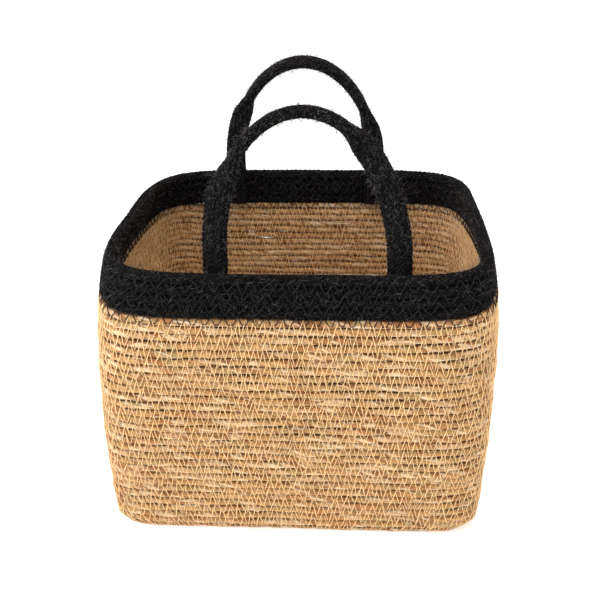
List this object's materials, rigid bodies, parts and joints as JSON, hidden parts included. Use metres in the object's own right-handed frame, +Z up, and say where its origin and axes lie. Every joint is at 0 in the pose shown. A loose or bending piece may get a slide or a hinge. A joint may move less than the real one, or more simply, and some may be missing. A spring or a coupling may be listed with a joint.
{
  "type": "seagrass storage basket",
  "caption": "Open storage basket of coiled, stitched seagrass rope with a black jute rim band and plaited fold-down carrying handles.",
  "frame": {"origin": "middle of the underside, on the surface the basket stands on", "axes": "+Z up, +X along the wide side, the front handle on the -Y side"},
  "size_m": [0.3253, 0.2908, 0.3385],
  "materials": {
    "seagrass": "dry twisted grass rope",
    "cream_thread": "fine twisted thread",
    "black_jute": "hairy plaited jute",
    "black_thread": "fine twisted thread"
  },
  "bodies": {
    "root": {"base_coil": "seagrass", "base_stitching": "cream_thread", "wall_coil": "seagrass", "wall_outer_stitching": "cream_thread", "wall_inner_stitching": "cream_thread", "rim_cord_1": "black_jute", "rim_cord_2": "black_jute", "rim_cord_3": "black_jute", "rim_cord_4": "black_jute", "rim_outer_stitching": "black_thread", "rim_inner_stitching": "black_thread", "front_left_handle_end": "black_jute", "front_right_handle_end": "black_jute", "back_left_handle_end": "black_jute", "back_right_handle_end": "black_jute", "front_left_tack_stitches": "black_thread", "front_right_tack_stitches": "black_thread", "back_left_tack_stitches": "black_thread", "back_right_tack_stitches": "black_thread"},
    "front_handle": {"front_handle_strap": "black_jute"},
    "back_handle": {"back_handle_strap": "black_jute"}
  },
  "joints": [
    {"name": "front_handle_fold", "type": "hinge", "parent": "root", "child": "front_handle", "pos_m": [0.011, -0.12031, 0.2325], "axis": [-1, 0, 0], "range_deg": [-101, 154]},
    {"name": "back_handle_fold", "type": "hinge", "parent": "root", "child": "back_handle", "pos_m": [-0.0035, 0.12031, 0.2325], "axis": [1, 0, 0], "range_deg": [-101, 154]}
  ]
}
